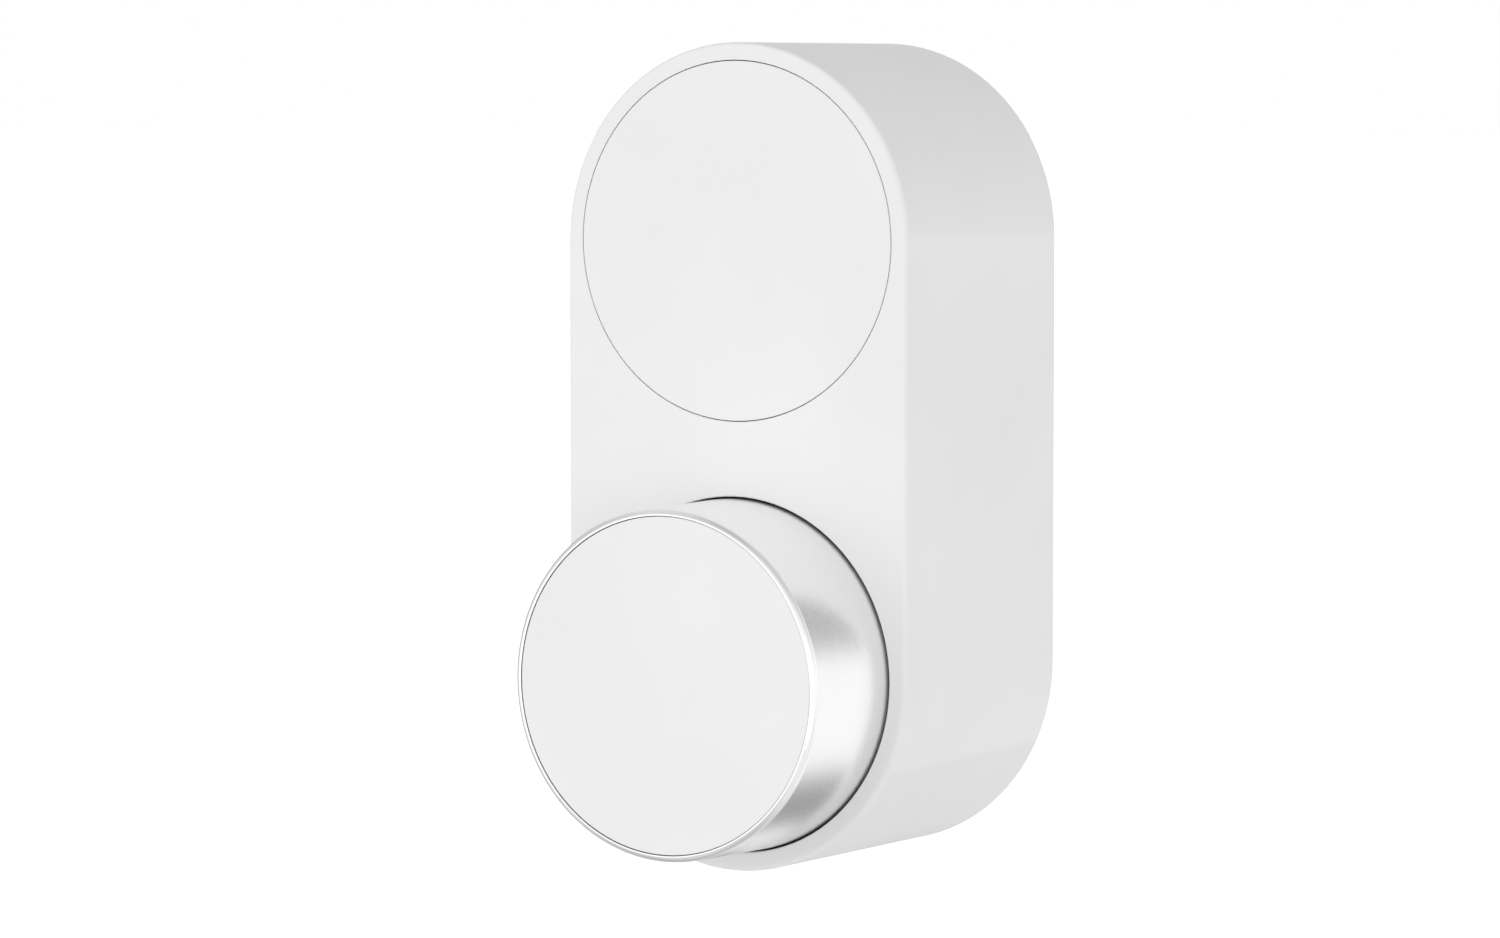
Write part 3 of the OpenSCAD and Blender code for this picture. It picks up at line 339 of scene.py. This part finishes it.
def cell_wrap(name):
    """A wrapped cell: bare steel ends, a light band at the positive end, and printed plus and minus signs."""
    low, high = (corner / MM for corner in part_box("battery_left"))
    middle, aside, axis = (low.z + high.z) / 2, (low.x + high.x) / 2, (low.y + high.y) / 2
    made, tree, shader, where = start_material(name)
    place = tree.vector("MULTIPLY", where, (1 / MM, 1 / MM, 1 / MM))
    x, y, z = tree.add("SeparateXYZ", None, Vector=place).outputs
    upright = tree.ramp(x, -0.1, 0.1, 1.0, -1.0, smooth=False)
    along = tree.math("MULTIPLY", tree.math("SUBTRACT", z, middle), upright)
    across = tree.math("ABSOLUTE", tree.math("ADD", tree.math("ABSOLUTE", x), aside))
    front = tree.ramp(y, axis - PRINT_DEPTH, axis - PRINT_DEPTH + 0.1, 1.0, 0.0, smooth=False)

    def inside(value, limit):
        return tree.ramp(value, limit - 0.03, limit + 0.03, 1.0, 0.0, smooth=False)

    def both(a, b):
        return tree.math("MULTIPLY", a, b)

    plus_along = tree.math("ABSOLUTE", tree.math("SUBTRACT", along, PLUS_AT))
    minus_along = tree.math("ABSOLUTE", tree.math("SUBTRACT", along, MINUS_AT))
    stroke, reach = SIGN_HALF_STROKE, SIGN_HALF_LENGTH
    plus = tree.math("MAXIMUM", both(inside(plus_along, stroke), inside(across, reach)),
                     both(inside(plus_along, reach), inside(across, stroke)))
    minus = both(inside(minus_along, stroke), inside(across, reach))
    band = tree.ramp(along, BAND_FROM, BAND_FROM + 0.1, smooth=False)
    top = tree.ramp(along, SLEEVE_TOP, SLEEVE_TOP + 0.1, smooth=False)
    bottom = tree.ramp(along, SLEEVE_BOTTOM, SLEEVE_BOTTOM - 0.1, smooth=False)
    bare = tree.math("MAXIMUM", top, bottom)
    sleeve = tinted(tree, where, (0.012, 0.03, 0.085), 0.06, 60.0)
    colour = tree.mix(band, sleeve, (0.55, 0.56, 0.58, 1.0))
    colour = tree.mix(both(plus, front), colour, (0.02, 0.02, 0.03, 1.0))
    colour = tree.mix(both(minus, front), colour, (0.75, 0.75, 0.75, 1.0))
    tree.feed(shader, "Base Color", tree.mix(bare, colour, (0.72, 0.71, 0.69, 1.0)))
    tree.feed(shader, "Metallic", bare)
    scuffs = tree.noise(where, 600.0, 3.0)
    tree.feed(shader, "Roughness", tree.ramp(scuffs, 0.3, 0.7, 0.24, 0.34))
    bump(tree, shader, scuffs, 0.006 * MM)
    return made


def clear_plastic(name):
    """Clear moulded plastic, a little frosted."""
    made, tree, shader, where = start_material(name, Transmission_Weight=0.9, IOR=1.49)
    shader.inputs["Base Color"].default_value = (0.93, 0.96, 0.97, 1.0)
    frost = tree.noise(where, 400.0, 3.0)
    tree.feed(shader, "Roughness", tree.ramp(frost, 0.3, 0.7, 0.12, 0.3))
    bump(tree, shader, frost, 0.01 * MM)
    return made


ALUMINIUM = (0.93, 0.93, 0.935)
MATERIALS = {
    "white_plastic": moulded_plastic("white_plastic", (0.86, 0.86, 0.858), 0.60),
    "grey_plastic": moulded_plastic(
        "grey_plastic", (0.10, 0.104, 0.112), 0.5, grain=0.5, depth=0.012, spread=0.05),
    "black_plastic": moulded_plastic(
        "black_plastic", (0.018, 0.018, 0.02), 0.46, grain=0.4, depth=0.01, spread=0.08),
    "gear_plastic": moulded_plastic(
        "gear_plastic", (0.76, 0.72, 0.62), 0.3, grain=1.2, depth=0.004, spread=0.03,
        Subsurface_Weight=0.25, Subsurface_Scale=0.002),
    "satin_aluminium": turned_metal("satin_aluminium", ALUMINIUM, 0.26, depth=0.003, blast=0.75),
    "steel": rolled_metal("steel", (0.56, 0.57, 0.58), 0.33),
    "nickel": rolled_metal("nickel", (0.74, 0.71, 0.66), 0.2, grain=0.3, depth=0.001),
    "bronze": sintered("bronze", (0.62, 0.38, 0.17)),
    "board_green": circuit_mask("board_green"),
    "cell_sleeve": cell_wrap("cell_sleeve"),
    "clear_plastic": clear_plastic("clear_plastic"),
    "led_lens": moulded_plastic(
        "led_lens", (0.85, 0.84, 0.70), 0.2, grain=0.8, Subsurface_Weight=0.4, Subsurface_Scale=0.001),
    "foam": foam("foam", (0.07, 0.07, 0.074)),
    "ferrite": moulded_plastic(
        "ferrite", (0.035, 0.035, 0.038), 0.55, grain=0.25, depth=0.02, spread=0.15),
    "capacitor_can": rolled_metal(
        "capacitor_can", (0.55, 0.56, 0.60), 0.25, grain=0.2, stretch=(1.0, 12.0, 1.0)),
    "wire": two_wires("wire"),
}


def paint_cad_nodes():
    for name, piece in NODES.items():
        piece.data.materials.clear()
        piece.data.materials.append(MATERIALS[SLOT_OF[name]])


# ---------- Mesh helpers ----------

SHARP_ANGLE = 40


def new_piece(name, vertices, faces, materials, body, face_slots=None):
    """A smooth-shaded mesh that rides on a body."""
    mesh = bpy.data.meshes.new(name)
    mesh.from_pydata([tuple(v) for v in vertices], [], faces)
    mesh.validate()
    for made in materials:
        mesh.materials.append(made)
    if face_slots:
        mesh.polygons.foreach_set("material_index", face_slots)
    mesh.shade_smooth()
    mesh.set_sharp_from_angle(angle=math.radians(SHARP_ANGLE))
    piece = bpy.data.objects.new(name, mesh)
    bpy.context.scene.collection.objects.link(piece)
    piece.modifiers.new("even_normals", "WEIGHTED_NORMAL").keep_sharp = True
    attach(piece, body)
    return piece


def rounded(corners, steps):
    """Closed outline through (x, y, radius) corners, each rounded by an arc of that radius."""
    out = []
    for i, (x, y, r) in enumerate(corners):
        here = Vector((x, y))
        before, after = Vector(corners[i - 1][:2]), Vector(corners[(i + 1) % len(corners)][:2])
        a, b = (before - here).normalized(), (after - here).normalized()
        if r == 0:
            out.append(here)
            continue
        half = a.angle(b) / 2
        centre = here + (a + b).normalized() * (r / math.sin(half))
        reach = r / math.tan(half)
        start, end = here + a * reach - centre, here + b * reach - centre
        turn = start.angle_signed(end)
        for k in range(steps + 1):
            spin = Matrix.Rotation(-turn * k / steps, 2)
            out.append(centre + spin @ start)
    return out


def lathe(outline, centre, segments):
    """Vertices and faces of a closed (radius, depth) outline in mm, turned about Y through centre."""
    vertices, rows = [], []
    for radius, depth in outline:
        row = []
        for k in range(segments if radius > 1e-6 else 1):
            a = 2 * math.pi * k / segments
            row.append(len(vertices))
            place = Vector((radius * math.cos(a), -depth, radius * math.sin(a)))
            vertices.append(place * MM + Vector(centre))
        rows.append(row)
    faces = []
    for i, row in enumerate(rows):
        following = rows[(i + 1) % len(rows)]
        if len(row) == 1 and len(following) == 1:
            continue
        for k in range(segments):
            m = (k + 1) % segments
            ends = [row[k % len(row)], row[m % len(row)]]
            ends += [following[m % len(following)], following[k % len(following)]]
            faces.append(tuple(dict.fromkeys(ends)))
    return vertices, faces


def measured(node):
    """A round node's centre in X and Z, and in mm its least and greatest depth and its outer radius."""
    low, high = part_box(node)
    centre = Vector(((low.x + high.x) / 2, 0.0, (low.z + high.z) / 2))
    return centre, -high.y / MM, -low.y / MM, (high.x - low.x) / 2 / MM


def smooth_copy(node, name, body):
    """A copy of a CAD node with its facets shaded as one smooth surface; it stands for the node."""
    shape = bmesh.new()
    shape.from_mesh(NODES[node].data)
    bmesh.ops.remove_doubles(shape, verts=shape.verts, dist=0.001 * MM)
    shape.verts.index_update()
    vertices = [v.co.copy() for v in shape.verts]
    faces = [[v.index for v in face.verts] for face in shape.faces]
    shape.free()
    slot = SLOT_OF[node]
    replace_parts(new_piece(name, vertices, faces, [MATERIALS[slot]], body), node)


# ---------- Knob ----------

# Millimetres. Depths are from the door, and radii are about the knob's axis.
KNOB_SEGMENTS = 288
RING_TAPER = 0.35
RING_WALL = 1.35
LIP_RADIUS = 0.95
GROOVE_WIDTH, GROOVE_DEPTH = 0.16, 0.16
WEB_RADIUS, WEB_BACK, WEB_FRONT = 20.5, 60.4, 61.58
SCREW_CIRCLE, SCREW_HOLE_RADIUS, SCREW_ANGLES = 22.7, 1.1, (90, 210, 330)
# 32 sides would put a drill's corners on the ring's own, and leave open edges.
DRILL_SEGMENTS = 30
# The face is this much wider than the CAD node, so that the hairline round it stays fine.
FACE_GROWTH = 0.05


def drilled(piece, places, radius, low, high):
    """Bores round holes along Y through a piece; places and sizes in mm."""
    drills = []
    for x, z in places:
        outline = [(0.0, low), (radius, low), (radius, high), (0.0, high)]
        mesh = bpy.data.meshes.new("drill")
        vertices, faces = lathe(outline, Vector((x, 0.0, z)) * MM, DRILL_SEGMENTS)
        mesh.from_pydata(vertices, [], faces)
        drills.append(bpy.data.objects.new("drill", mesh))
        bpy.context.scene.collection.objects.link(drills[-1])
        cut = piece.modifiers.new("hole", "BOOLEAN")
        cut.operation, cut.solver, cut.object = "DIFFERENCE", "EXACT", drills[-1]
    bpy.context.view_layer.update()
    seen = piece.evaluated_get(bpy.context.evaluated_depsgraph_get())
    cut_mesh = bpy.data.meshes.new_from_object(seen)
    piece.modifiers.clear()
    piece.data = cut_mesh
    for drill in drills:
        bpy.data.meshes.remove(drill.data)


def ring_outline(back, front, base_r):
    """The ring's section: a tapered outside, a groove, a round polished lip, and a web behind the face."""
    lip_r, inner_r = base_r - RING_TAPER, base_r - RING_WALL
    line = front - LIP_RADIUS
    return rounded([
        (inner_r, back + 0.15, 0.1), (base_r, back, 0.12),
        (lip_r + 0.003, line - GROOVE_WIDTH, 0.0),
        (lip_r - GROOVE_DEPTH, line - 0.11, 0.0), (lip_r - GROOVE_DEPTH, line - 0.05, 0.0),
        (lip_r, line, 0.0), (lip_r, front, LIP_RADIUS - 0.01), (inner_r, front, 0.08),
        (inner_r, WEB_FRONT, 0.0), (WEB_RADIUS, WEB_FRONT, 0.05),
        (WEB_RADIUS, WEB_BACK, 0.05), (inner_r, WEB_BACK, 0.0),
    ], 12)


def make_knob_ring():
    """A turned ring with a satin side, a fine groove and a polished lip."""
    polished = turned_metal("polished_lip", ALUMINIUM, 0.06, line=0.03, depth=0.0001)
    centre, back, front, base_r = measured("knob_ring")
    vertices, faces = lathe(ring_outline(back, front, base_r), centre, KNOB_SEGMENTS)
    polished_from = front - LIP_RADIUS - GROOVE_WIDTH
    slots = []
    for face in faces:
        deep = sum(-vertices[v].y for v in face) / len(face) / MM
        slots.append(1 if deep > polished_from else 0)
    finishes = [MATERIALS["satin_aluminium"], polished]
    ring = new_piece("knob_ring_turned", vertices, faces, finishes, "knob", slots)
    turns = [math.radians(a) for a in SCREW_ANGLES]
    screws = [(SCREW_CIRCLE * math.cos(a), SCREW_CIRCLE * math.sin(a)) for a in turns]
    drilled(ring, screws, SCREW_HOLE_RADIUS, WEB_BACK - 1, WEB_FRONT + 1)
    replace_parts(ring, "knob_ring")


def make_knob_face():
    """A flat moulded face, set into the ring."""
    centre, back, front, r = measured("knob_face")
    r += FACE_GROWTH
    outline = rounded([(0.0, back, 0.0), (r, back, 0.1), (r, front, 0.09), (0.0, front, 0.0)], 8)
    vertices, faces = lathe(outline, centre, KNOB_SEGMENTS)
    face = new_piece(
        "knob_face_moulded", vertices, faces, [MATERIALS["white_plastic"]], "knob")
    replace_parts(face, "knob_face")


# ---------- Floor ----------

def make_floor():
    """A pale floor that stays out of reflections, so that the studio's panels alone shape the metal."""
    made, tree, shader, where = start_material("floor", Roughness=0.9)
    tree.feed(shader, "Base Color", tinted(tree, where, (0.9, 0.9, 0.9), 0.01, 3.0))
    shader.inputs["Emission Color"].default_value = grey(1.0)
    shader.inputs["Emission Strength"].default_value = FLOOR_GLOW
    mesh = bpy.data.meshes.new("floor")
    half = FLOOR_HALF_WIDTH
    corners = ((-half, -half), (half, -half), (half, half), (-half, half))
    mesh.from_pydata([(x, y, FLOOR_Z) for x, y in corners], [], [(0, 1, 2, 3)])
    mesh.materials.append(made)
    floor = bpy.data.objects.new("floor", mesh)
    floor.visible_glossy = floor.visible_diffuse = False
    bpy.context.scene.collection.objects.link(floor)


make_camera()
make_world()
make_floor()
area_light("near_fill", (0.30, -0.55, -0.05), (0.0, -0.06, 0.0), 0.4, 0.35)
bpy.context.scene.view_settings.view_transform = "Standard"
paint_cad_nodes()
smooth_copy("front_housing", "front_housing_moulded", "housing_body")
make_knob_ring()
make_knob_face()
